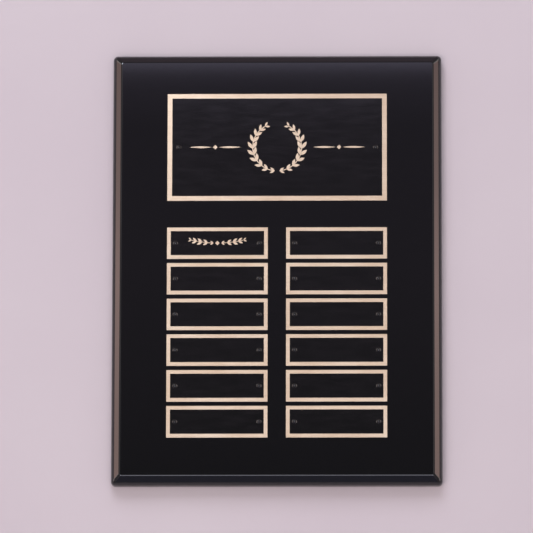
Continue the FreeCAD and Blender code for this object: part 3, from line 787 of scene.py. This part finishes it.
def laurel_tree() -> bpy.types.NodeTree:
    """Makes the tree that grows a leafy spray along an arc in the XY plane.

    A pair of leaves stands at each step, one on each side of a thin stem, and they get
    smaller towards both ends.

    Returns:
        The tree.
    """
    tree, given = open_tree("laurel_spray", [
        ("Geometry", "NodeSocketGeometry"), ("Radius", "NodeSocketFloat"),
        ("Start Angle", "NodeSocketFloat"), ("Sweep", "NodeSocketFloat"),
        ("Leaf Pairs", "NodeSocketInt"), ("Leaf Spread", "NodeSocketFloat"),
        ("Smallest", "NodeSocketFloat"), ("Stem Width", "NodeSocketFloat"),
        ("Stem Height", "NodeSocketFloat"), ("Material", "NodeSocketMaterial")])
    arc = add_node(tree, "GeometryNodeCurveArc", {
        "Resolution": 64, "Radius": given.outputs["Radius"],
        "Start Angle": given.outputs["Start Angle"], "Sweep Angle": given.outputs["Sweep"]})
    steps = add_node(tree, "GeometryNodeCurveToPoints", {
        "Curve": arc.outputs["Curve"], "Count": given.outputs["Leaf Pairs"]})
    heading = add_node(tree, "ShaderNodeSeparateXYZ", {"Vector": steps.outputs["Tangent"]})
    angle = add_node(tree, "ShaderNodeMath", {
        0: heading.outputs["Y"], 1: heading.outputs["X"]}, operation="ARCTAN2")
    count = add_node(tree, "GeometryNodeInputIndex")
    last = add_node(tree, "ShaderNodeMath", {0: given.outputs["Leaf Pairs"], 1: 1.0},
                    operation="SUBTRACT")
    share = add_node(tree, "ShaderNodeMath", {
        0: count.outputs[0], 1: last.outputs[0]}, operation="DIVIDE")
    swell = add_node(tree, "ShaderNodeMath", {
        0: add_node(tree, "ShaderNodeMath", {0: share.outputs[0], 1: math.pi},
                    operation="MULTIPLY").outputs[0]}, operation="SINE")
    size = add_node(tree, "ShaderNodeMapRange", {
        "Value": swell.outputs[0], "To Min": given.outputs["Smallest"], "To Max": 1.0})
    parts = []
    for side in (-1.0, 1.0):
        offset = add_node(tree, "ShaderNodeMath", {
            0: given.outputs["Leaf Spread"], 1: side, 2: angle.outputs[0]},
            operation="MULTIPLY_ADD")
        turn = add_node(tree, "ShaderNodeCombineXYZ", {"Z": offset.outputs[0]})
        leaves = add_node(tree, "GeometryNodeInstanceOnPoints", {
            "Points": steps.outputs["Points"], "Instance": given.outputs["Geometry"],
            "Rotation": add_node(tree, "FunctionNodeEulerToRotation",
                                 {"Euler": turn.outputs[0]}).outputs[0],
            "Scale": size.outputs["Result"]})
        parts.append(leaves.outputs["Instances"])
    section = add_node(tree, "GeometryNodeCurvePrimitiveQuadrilateral", {
        "Width": given.outputs["Stem Width"], "Height": given.outputs["Stem Height"]})
    stem = add_node(tree, "GeometryNodeCurveToMesh", {
        "Curve": arc.outputs["Curve"], "Profile Curve": section.outputs["Curve"],
        "Fill Caps": True})
    joined = add_node(tree, "GeometryNodeJoinGeometry")
    for part in (*parts, stem.outputs["Mesh"]):
        tree.links.new(part, joined.inputs[0])
    return close_tree(tree, given, joined.outputs[0])


# The plaque's parts


def show(piece: bpy.types.Object, nodes: Sequence[str] = ()) -> None:
    """Hangs a new piece on the plaque's one body.

    Args:
        piece: The piece.
        nodes: The solids that it stands for.
    """
    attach(piece, "root")
    if nodes:
        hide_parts(*nodes)
    LOG.info("%s: %d vertices, in place of %s", piece.name, len(piece.data.vertices),
             ", ".join(nodes) or "nothing")


def set_in(name: str, mesh: bpy.types.Mesh, box: Sequence[Vector], depth: float,
           nodes: Sequence[str] = (), turn: Matrix = TO_FRONT) -> None:
    """Turns a mesh that was made lying down, sets it amid a box and shows it.

    Args:
        name: The piece's name.
        mesh: Its mesh.
        box: The lowest and the highest corner of the box.
        depth: Where the mesh's origin goes along Y.
        nodes: The solids that it stands for.
        turn: How it is turned.
    """
    low, high = box
    middle = Vector(((low.x + high.x) / 2.0, depth, (low.z + high.z) / 2.0))
    mesh.transform(Matrix.Translation(middle) @ turn)
    show(link(name, mesh), nodes)


def dress(frame: dict[str, Any], nodes: Sequence[str], material: bpy.types.Material) -> None:
    """Gives solids that stay in the scene their finish.

    Args:
        nodes: The solids.
        material: The finish.
    """
    for node in nodes:
        for material_slot in frame["nodes"][node].material_slots:
            material_slot.material = material
        LOG.info("%s: keeps its solid, in %s", node, material.name)


@dataclass
class Board:
    """The lacquered board, with its moulded edge."""

    lacquer: PianoLacquer = PianoLacquer()

    def build(self, frame: dict[str, Any]) -> None:
        """Dresses the board.
        """
        dress(frame, ["board"], self.lacquer.make())


@dataclass
class BrassPlates:
    """The header plate and the twelve nameplates, with the enamel on them.

    The tree repeats a shape over the plates.
    """

    tree: bpy.types.NodeTree
    brass: bpy.types.Material
    enamel: bpy.types.Material
    edge_round: float = 0.1 * MM
    sharp_angle: float = 10.0
    columns: int = 2
    rows: int = 6
    name_nodes: tuple[str, ...] = tuple(f"name_plate_{number:02d}" for number in range(1, 13))

    def build(self, frame: dict[str, Any]) -> None:
        """Makes the brass of the plates again with eased edges, and dresses their enamel.
        """
        self.make_plates("header_plate_brass", ["header_plate"], 1, 1)
        self.make_plates("name_plates_brass", self.name_nodes, self.columns, self.rows)
        dress(frame, ["header_plate_enamel", "name_plate_enamel"], self.enamel)

    def make_plates(self, name: str, nodes: Sequence[str], columns: int, rows: int) -> None:
        """Makes plates of one size, where their solids are.

        Args:
            name: The piece's name.
            nodes: The solids of the plates.
            columns: How many stand side by side.
            rows: How many stand above each other.
        """
        boxes = [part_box(node) for node in nodes]
        low = Vector([min(box[0][axis] for box in boxes) for axis in range(3)])
        high = Vector([max(box[1][axis] for box in boxes) for axis in range(3)])
        size = boxes[0][1] - boxes[0][0]
        base = to_mesh(rounded_slab(size.x, size.z, size.y, self.edge_round), name,
                       self.sharp_angle)
        mesh = grow(name, base, self.tree, {
            **ALONE, "Columns": columns, "Rows": rows,
            "Column Pitch": (high.x - low.x - size.x) / max(columns - 1, 1),
            "Row Pitch": (high.z - low.z - size.z) / max(rows - 1, 1),
            "Material": self.brass})
        set_in(name, mesh, (low, high), high.y, nodes)


@dataclass
class PlatePins:
    """The black domed pins that hold the plates.

    The tree repeats a shape over the plates.
    """

    tree: bpy.types.NodeTree
    black: bpy.types.Material
    sides: int = 28
    rim: float = 0.1 * MM
    seat_share: float = 0.97
    sharp_angle: float = 50.0
    shank_radius: float = 0.8 * MM
    tip_radius: float = 0.2 * MM
    point_length: float = 1.8 * MM
    dome_steps: int = 10
    dome_power: float = 1.5
    head_height: float = 1.25 * MM
    lean: float = math.radians(1.6)
    header_seed: int = 3
    name_seed: int = 8
    column_gap: float = 12.7 * MM
    columns: int = 2
    rows: int = 6

    def build(self) -> None:
        """Makes the pins of the header plate and of the nameplates."""
        self.make_pins("header_domed_pins", "header_plate_pins", 1, 1, self.header_seed)
        self.make_pins("name_domed_pins", "name_plate_pins", self.columns, self.rows,
                       self.name_seed)

    def one_pin(self, radius: float, length: float) -> bpy.types.Mesh:
        """Makes one pin, with its head's seat at Z zero and its point below.

        Args:
            radius: The head's radius.
            length: From its crown to its tip.

        Returns:
            The mesh.
        """
        tip = self.head_height - length
        profile = [(0.0, tip), (self.tip_radius, tip),
                   (self.shank_radius, tip + self.point_length), (self.shank_radius, 0.0),
                   (radius * self.seat_share, 0.0), (radius, self.rim / 2.0)]
        for step in range(self.dome_steps + 1):
            share = 1.0 - step / self.dome_steps
            profile.append((radius * share, self.rim + (self.head_height - self.rim)
                            * (1.0 - share ** self.dome_power)))
        return to_mesh(lathe(profile, self.sides), "pin", self.sharp_angle)

    def make_pins(self, name: str, node: str, columns: int, rows: int, seed: int) -> None:
        """Makes the pins of plates of one size, where their solids are.

        Args:
            name: The piece's name.
            node: The solids of the pins.
            columns: How many plates stand side by side.
            rows: How many plates stand above each other.
            seed: The seed of the way the pins lean.
        """
        low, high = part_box(node)
        head_low, head_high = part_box("header_plate_pins")
        radius = (head_high.z - head_low.z) / 2.0
        pitch = 0.0
        if columns > 1:
            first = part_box("name_plate_01")
            pitch = self.column_gap + first[1].x - first[0].x
        mesh = grow(name, self.one_pin(radius, high.y - low.y), self.tree, {
            "Pair Spread": high.x - low.x - 2.0 * radius - pitch, "Pair Count": 2,
            "Columns": columns, "Rows": rows, "Column Pitch": pitch,
            "Row Pitch": (high.z - low.z - 2.0 * radius) / max(rows - 1, 1),
            "Lean": self.lean, "Seed": seed, "Material": self.black})
        set_in(name, mesh, (low, high), low.y + self.head_height, [node])


@dataclass(frozen=True)
class Spray:
    """Leaves in pairs along an arc, in degrees, of which the left one mirrors the right.

    The share is the size of the leaves as a share of the full one.
    """

    radius: float
    start: float
    sweep: float
    pairs: int
    share: float = 1.0


@dataclass
class Engraving:
    """The ornament cut through the enamel down to the brass.

    The header plate has an open laurel between two swelled rules, and the first nameplate
    has a small sprig to each side of a lozenge. The cuts are shown as bright brass, level
    with the enamel. The tree repeats a shape in pairs.
    """

    pair_tree: bpy.types.NodeTree
    brass: bpy.types.Material
    depth: float = 0.05 * MM
    laurel: Spray = Spray(17.0 * MM, -84.0, 144.0, 10)
    sprig: Spray = Spray(80.0 * MM, -88.0, 11.0, 5, 0.68)
    leaf_gap: float = 0.2 * MM
    leaf_length: float = 6.0 * MM
    leaf_width: float = 2.4 * MM
    leaf_spread: float = math.radians(31.0)
    leaf_steps: int = 6
    smallest_leaf: float = 0.6
    stem_width: float = 0.6 * MM
    rule_length: float = 36.0 * MM
    rule_width: float = 1.3 * MM
    rule_steps: int = 16
    rule_spread: float = 86.0 * MM
    lozenge: float = 3.2 * MM
    lozenge_room: float = 0.75

    def build(self) -> None:
        """Makes the ornament of the header plate and of the first nameplate."""
        tree = laurel_tree()
        laurel = self.grow_sprays(tree, self.laurel)
        rules = grow("rules", self.rule(), self.pair_tree, {
            **ALONE, "Pair Spread": self.rule_spread, "Pair Count": 2,
            "Material": self.brass})
        self.place("header_engraving", [*laurel, rules], "header_plate",
                   "header_plate_enamel")
        sprigs = self.grow_sprays(tree, self.sprig)
        for sprig in sprigs:
            sprig.transform(Matrix.Translation((0.0, self.sprig.radius, 0.0)))
        self.place("first_plate_engraving", [*sprigs, self.diamond()], "name_plate_01",
                   "name_plate_enamel")

    def grow_sprays(self, tree: bpy.types.NodeTree, spray: Spray) -> list[bpy.types.Mesh]:
        """Grows a spray and the one that mirrors it.

        Args:
            tree: The tree that grows a spray.
            spray: Its sizes.

        Returns:
            The two meshes.
        """
        start, sweep = math.radians(spray.start), math.radians(spray.sweep)
        made = []
        for first, turn in ((start, sweep), (math.pi - start, -sweep)):
            leaf = prism(lens(self.leaf_gap * spray.share, self.leaf_length * spray.share,
                              self.leaf_width * spray.share, self.leaf_steps), self.depth)
            made.append(grow("spray", to_mesh(leaf, "leaf"), tree, {
                "Radius": spray.radius, "Start Angle": first, "Sweep": turn,
                "Leaf Pairs": spray.pairs, "Leaf Spread": self.leaf_spread,
                "Smallest": self.smallest_leaf, "Stem Width": self.stem_width * spray.share,
                "Stem Height": self.depth, "Material": self.brass}))
        return made

    def diamond(self) -> bpy.types.Mesh:
        """Returns a lozenge."""
        reach = self.lozenge / 2.0
        return to_mesh(prism([(-reach, 0.0), (0.0, -reach), (reach, 0.0), (0.0, reach)],
                             self.depth), "lozenge")

    def rule(self) -> bpy.types.Mesh:
        """Makes a swelled rule with a lozenge in its middle.

        Returns:
            The mesh.
        """
        gap = self.lozenge * self.lozenge_room
        half = self.rule_length / 2.0 - gap
        halves = [to_mesh(prism(lens(start, half, self.rule_width, self.rule_steps),
                                self.depth), "half_rule")
                  for start in (-self.rule_length / 2.0, gap)]
        return join([*halves, self.diamond()], "rule")

    def place(self, name: str, parts: Sequence[bpy.types.Mesh], plate: str,
              enamel: str) -> None:
        """Joins the parts of an ornament and lays them in the enamel of a plate.

        Args:
            name: The piece's name.
            parts: The parts, centred on the plate.
            plate: The plate's solid.
            enamel: The solid of the enamel on it.
        """
        mesh = join(parts, name)
        coat(mesh, self.brass)
        set_in(name, mesh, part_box(plate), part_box(enamel)[0].y)


@dataclass
class KeyholeHanger:
    """The pressed steel hanger, let into the back of the board."""

    edge_round: float = 0.2 * MM
    merge_gap: float = 1e-6
    flat_angle: float = math.radians(1.0)
    eased_angle: float = math.radians(35.0)
    finish: ZincPlate = ZincPlate()

    def build(self, frame: dict[str, Any]) -> None:
        """Makes the hanger again with eased edges.
        """
        form = bmesh.new()
        form.from_mesh(frame["nodes"]["keyhole_hanger"].data)
        bmesh.ops.remove_doubles(form, verts=form.verts, dist=self.merge_gap)
        bmesh.ops.dissolve_limit(form, verts=form.verts, edges=form.edges,
                                 angle_limit=self.flat_angle)
        form.normal_update()
        ease(form, [edge for edge in form.edges if edge.is_manifold
                    and edge.calc_face_angle() > self.eased_angle], self.edge_round)
        mesh = to_mesh(form, "pressed_hanger")
        coat(mesh, self.finish.make())
        show(link("pressed_hanger", mesh), ["keyhole_hanger"])


@dataclass
class HangerScrews:
    """The two slotted, countersunk wood screws that hold the hanger.

    The tree repeats a shape in rows.
    """

    tree: bpy.types.NodeTree
    seat_radius: float = 2.7 * MM
    head_radius: float = 2.6 * MM
    head_depth: float = 1.25 * MM
    rim: float = 0.08 * MM
    shank_radius: float = 1.4 * MM
    core_radius: float = 0.95 * MM
    thread_pitch: float = 1.2 * MM
    thread_top: float = 2.2 * MM
    crest_share: float = 0.32
    rings_per_turn: int = 6
    point_length: float = 2.4 * MM
    blunt_share: float = 0.12
    slot_width: float = 0.8 * MM
    slot_depth: float = 0.6 * MM
    sides: int = 32
    finish: ZincPlate = ZincPlate("bright_zinc_steel", (
        (0.27, "#cdd0d4"), (0.58, "#e6e7ea")), roughness=(0.12, 0.38))

    def build(self) -> None:
        """Makes the screws where their solids are."""
        low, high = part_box("hanger_screws")
        mesh = grow("slotted_screws", self.one_screw(high.y - low.y), self.tree, {
            **ALONE, "Rows": 2, "Row Pitch": high.z - low.z - 2.0 * self.seat_radius,
            "Material": self.finish.make()})
        set_in("slotted_screws", mesh, (low, high), high.y, ["hanger_screws"],
               TO_FRONT.inverted())

    def one_screw(self, length: float) -> bpy.types.Mesh:
        """Makes one screw, with the top of its head at Z zero and its point below.

        Args:
            length: Its whole length.

        Returns:
            The mesh.
        """
        def point(height: float) -> float:
            """Returns how full the screw is at a height, from 0 at its tip."""
            return min(max((height + length) / self.point_length, 0.0), 1.0)

        def thread(height: float, turn: float) -> float:
            """Works out how far the thread stands out.

            Args:
                height: The height along the screw.
                turn: The share of the turn.

            Returns:
                How far, in metres.
            """
            phase = (height / self.thread_pitch - turn) % 1.0
            crest = max(0.0, 1.0 - abs(phase - 0.5) / self.crest_share)
            fade = min(max((-self.thread_top - height) / self.thread_pitch, 0.0), 1.0)
            return (self.shank_radius - self.core_radius) * crest * fade * point(height)

        step = self.thread_pitch / self.rings_per_turn
        rings = int((length - self.thread_top) / step)
        profile = [(0.0, -length)]
        profile += [(self.core_radius * max(point(height), self.blunt_share), height)
                    for height in (-length + step * ring for ring in range(1, rings + 1))]
        profile += [(self.shank_radius, -self.thread_top), (self.shank_radius, -self.head_depth),
                    (self.head_radius, -self.rim), (self.head_radius - self.rim, 0.0),
                    (0.0, 0.0)]
        blank = link("screw_blank", to_mesh(lathe(profile, self.sides, thread), "screw"))
        # The cutter reaches well past the head at both ends, and half of it stands above.
        slot = rounded_slab(4.0 * self.head_radius, self.slot_width, 2.0 * self.slot_depth,
                            self.rim)
        bmesh.ops.translate(slot, verts=slot.verts, vec=(0.0, 0.0, -self.slot_depth))
        cutter = link("slot_cutter", to_mesh(slot, "slot"))
        cut = blank.modifiers.new("slot", "BOOLEAN")
        cut.operation, cut.solver, cut.object = "DIFFERENCE", "EXACT", cutter
        graph = bpy.context.evaluated_depsgraph_get()
        mesh = bpy.data.meshes.new_from_object(blank.evaluated_get(graph), depsgraph=graph)
        bpy.data.objects.remove(blank)
        bpy.data.objects.remove(cutter)
        mesh.shade_smooth()
        mesh.set_sharp_from_angle(angle=math.radians(SHARP_ANGLE))
        return mesh


# The stage


def flat_piece(name: str, corners: Sequence[Sequence[float]], faces: Sequence[Sequence[int]],
               material: bpy.types.Material) -> bpy.types.Object:
    """Makes a flat piece.

    Args:
        name: Its name.
        corners: Its corners.
        faces: The numbers of each face's corners.
        material: Its material.

    Returns:
        The object.
    """
    mesh = bpy.data.meshes.new(name)
    mesh.from_pydata(corners, [], faces)
    mesh.materials.append(material)
    return link(name, mesh)


@dataclass(frozen=True)
class Card:
    """A flat, upright or level card that only reflections see.

    Its lowest and highest corners share one coordinate. Its stops are the light that it
    gives at places along its axis, in metres. A card with one stop is the same all over.
    """

    name: str
    low: tuple[float, float, float]
    high: tuple[float, float, float]
    stops: tuple[tuple[float, tuple[float, float, float]], ...]
    axis: str = "Z"

    def corners(self) -> list[tuple[float, float, float]]:
        """Works out its corners.

        Returns:
            The four corners, in turn.
        """
        low, high = self.low, self.high
        if low[0] == high[0]:
            return [low, (low[0], high[1], low[2]), high, (low[0], low[1], high[2])]
        return [low, (high[0], low[1], low[2]), high, (low[0], high[1], high[2])]

    def glow(self) -> bpy.types.Material:
        """Makes the material that gives its light.

        Returns:
            The material.
        """
        material, tree, output = new_material(f"{self.name}_glow")
        first, last = self.stops[0][0], self.stops[-1][0]
        peak = max(max(light) for _, light in self.stops)
        colours = [(*(value / peak for value in light), 1.0) for _, light in self.stops]
        colour = colours[0]
        if len(colours) > 1:
            place = add_node(tree, "ShaderNodeTexCoord").outputs["Object"]
            along = add_node(tree, "ShaderNodeSeparateXYZ", {"Vector": place})
            share = add_node(tree, "ShaderNodeMapRange", {
                "Value": along.outputs[self.axis], "From Min": first, "From Max": last})
            ramp = add_node(tree, "ShaderNodeValToRGB", {"Fac": share.outputs["Result"]})
            set_ramp(ramp, [((stop[0] - first) / (last - first), shade)
                            for stop, shade in zip(self.stops, colours)])
            colour = ramp.outputs["Color"]
        light = add_node(tree, "ShaderNodeEmission", {"Color": colour, "Strength": peak})
        tree.links.new(light.outputs[0], output.inputs["Surface"])
        return material

    def build(self) -> None:
        """Makes the card."""
        card = flat_piece(self.name, self.corners(), [(0, 1, 2, 3)], self.glow())
        card.visible_camera = False
        card.visible_diffuse = False
        card.visible_shadow = False
        card.visible_transmission = False
        card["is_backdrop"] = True


WINDOW_STOPS = (
    (-1.3, (4.2, 3.8, 3.7)), (0.2, (4.2, 3.6, 3.5)), (0.3, (3.2, 2.2, 2.0)),
    (0.40, (3.3, 2.3, 2.1)), (0.54, (3.9, 2.7, 2.5)), (0.66, (2.8, 1.95, 1.8)),
    (0.8, (2.2, 1.5, 1.4)), (0.95, (2.0, 1.4, 1.3)), (1.1, (4.0, 3.6, 3.5)),
    (2.2, (4.0, 3.6, 3.5)))
CARDS = (
    Card("front_card", (-0.42, -1.0, -0.12), (0.42, -1.0, 1.7), (
        (-0.12, (0.05, 0.05, 0.06)), (0.04, (0.08, 0.08, 0.09)),
        (0.22, (0.16, 0.14, 0.18)), (0.34, (0.17, 0.15, 0.2)),
        (0.37, (0.25, 0.22, 0.3)), (0.382, (0.32, 0.28, 0.4)),
        (0.386, (0.42, 0.38, 0.5)), (0.39, (0.62, 0.56, 0.78)),
        (0.3918, (0.82, 0.74, 1.04)), (0.3926, (1.2, 1.1, 1.5)),
        (0.3932, (1.5, 1.4, 1.85)), (0.5, (1.5, 1.4, 1.85)),
        (0.53, (0.3, 0.28, 0.33)), (1.7, (0.3, 0.28, 0.33)))),
    Card("top_card", (-0.14, -0.06, 0.2), (0.14, 0.0, 0.2), (
        (-0.14, (0.38, 0.29, 0.34)), (0.14, (0.36, 0.28, 0.33))), "X"),
    Card("floor_card", (-0.5, -0.75, -1.1), (0.5, -0.1, -1.1), ((0.0, (0.24, 0.24, 0.34)),)),
    Card("low_card", (-1.6, -2.9, -1.3), (0.8, -2.9, -0.25), ((0.0, (1.5, 1.5, 1.65)),)),
    Card("step_card", (-0.6, -1.2, -1.1), (0.6, -1.2, -0.7), ((0.0, (5.4, 5.5, 6.6)),)),
    Card("upper_left_card", (-0.3, -0.3, 0.25), (-0.18, -0.3, 0.37),
         ((0.0, (16.0, 16.8, 19.2)),)),
    Card("left_card", (-0.42, -0.98, -0.12), (-0.19, -0.98, 0.6), (
        (-0.12, (1.1, 1.05, 1.05)), (0.6, (1.7, 1.65, 1.75)))),
    Card("right_card", (0.19, -0.98, -0.12), (0.42, -0.98, 0.6), (
        (-0.12, (1.3, 1.2, 1.2)), (0.6, (1.1, 1.0, 1.0)))),
    Card("left_window", (-2.6, -0.72, -1.3), (-2.6, -0.26, 2.2), WINDOW_STOPS),
    Card("right_window", (2.6, -0.72, -1.3), (2.6, -0.26, 2.2), WINDOW_STOPS),
)


@dataclass
class Stage:
    """The pale wall and floor, the studio light and the camera."""

    wall_paint: StagePaint = StagePaint("painted_plaster", (
        (0.3, "#ccc5cc"), (0.7, "#d0cad0")), 6.0, 2.0, roughness=0.9, specular=0.2)
    floor_cover: StagePaint = StagePaint("pale_vinyl_floor", (
        (0.3, "#cfc8cb"), (0.7, "#d6cfd2")), 4.0, 3.0, roughness=0.7)
    wall_y: float = 0.6 * MM
    half_width: float = 3.0
    floor_z: float = -1.35
    wall_top: float = 2.4
    floor_front: float = -6.0
    hole_inset: float = 2.0 * MM
    world_colour: str = "#e9e2e6"
    world_strength: float = 0.52
    camera_distance: float = 5.0
    camera_below: float = 12.5
    camera_roll: float = 0.12
    camera_right: float = 1.0
    camera_reach: float = 50.0
    target: tuple[float, float] = (-7.2 * MM, 0.17 * MM)
    pixels_per_mm: float = 1.445

    def build(self) -> None:
        """Makes the wall, the floor, the lights and the camera."""
        self.make_wall()
        self.make_floor()
        self.make_world()
        self.make_lamps()
        for card in CARDS:
            card.build()
        self.make_camera()

    def make_wall(self) -> None:
        """Makes the wall, which is open behind the board and clear from behind."""
        low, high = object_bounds()
        inner = (low[0] + self.hole_inset, high[0] - self.hole_inset,
                 low[2] + self.hole_inset, high[2] - self.hole_inset)
        across = (-self.half_width, inner[0], inner[1], self.half_width)
        up = (self.floor_z, inner[2], inner[3], self.wall_top)
        row = len(across)
        # The middle one of the nine faces is left out.
        starts = (row * line + place for line in range(3) for place in range(3)
                  if (line, place) != (1, 1))
        wall = flat_piece("wall", [(x, self.wall_y, z) for z in up for x in across],
                          [(start, start + 1, start + row + 1, start + row)
                           for start in starts], self.wall_paint.make())
        wall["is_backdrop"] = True

    def make_floor(self) -> None:
        """Makes the pale floor."""
        floor = flat_piece("floor", [(-self.half_width, self.floor_front, self.floor_z),
                                     (self.half_width, self.floor_front, self.floor_z),
                                     (self.half_width, self.wall_y, self.floor_z),
                                     (-self.half_width, self.wall_y, self.floor_z)],
                           [(0, 1, 2, 3)], self.floor_cover.make())
        floor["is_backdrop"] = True

    def make_world(self) -> None:
        """Makes the pale, even surroundings."""
        world = bpy.data.worlds.new("pale_room")
        world.use_nodes = True
        tree = world.node_tree
        tree.nodes.clear()
        glow = add_node(tree, "ShaderNodeBackground", {
            "Color": linear(self.world_colour), "Strength": self.world_strength})
        add_node(tree, "ShaderNodeOutputWorld", {"Surface": glow.outputs[0]})
        bpy.context.scene.world = world

    def make_lamps(self) -> None:
        """Makes the soft light from above and the broad one from low in front."""
        for name, place, size, power, colour in (
                ("overhead_softbox", (-0.35, -1.7, 2.0), (1.8, 1.3), 33.0, "#f5f4ff"),
                ("low_softbox", (-0.4, -2.9, -0.78), (2.4, 1.1), 36.0, "#ffefea")):
            lamp = bpy.data.lights.new(name, "AREA")
            lamp.shape = "RECTANGLE"
            lamp.size, lamp.size_y = size
            lamp.energy = power
            lamp.color = linear(colour)[:3]
            light = bpy.data.objects.new(name, lamp)
            light.location = place
            light.rotation_euler = (-light.location).to_track_quat("-Z", "Y").to_euler()
            light.visible_glossy = False
            bpy.context.scene.collection.objects.link(light)

    def make_camera(self) -> None:
        """Makes the camera, a little below the plaque's middle and far away."""
        low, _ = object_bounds()
        aim = Vector((self.target[0], low[1], self.target[1]))
        below = math.radians(self.camera_below)
        right = math.radians(self.camera_right)
        away = Vector((math.sin(right) * math.cos(below), -math.cos(right) * math.cos(below),
                       -math.sin(below)))
        data = bpy.data.cameras.new("camera")
        data.sensor_width = SENSOR_WIDTH
        data.lens = (self.pixels_per_mm / MM * SENSOR_WIDTH * self.camera_distance
                     / PHOTO_WIDTH)
        data.clip_end = self.camera_reach
        camera = bpy.data.objects.new("camera", data)
        camera.location = aim + away * self.camera_distance
        turn = (-away).to_track_quat("-Z", "Y").to_matrix()
        roll = Matrix.Rotation(math.radians(self.camera_roll), 3, "Z")
        camera.rotation_euler = (turn @ roll).to_euler()
        bpy.context.scene.collection.objects.link(camera)
        bpy.context.scene.camera = camera


def main() -> None:
    """Builds the plaque and its stage."""
    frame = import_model()
    bpy.context.scene.view_settings.view_transform = "Standard"
    tree = pairs_in_rows_tree()
    brass = SatinBrass().make()
    Board().build(frame)
    BrassPlates(tree, brass, ScreenedEnamel().make()).build(frame)
    PlatePins(tree, LacqueredPin().make()).build()
    Engraving(tree, brass).build()
    KeyholeHanger().build(frame)
    HangerScrews(tree).build()
    Stage().build()


if __name__ == "__main__":
    main()
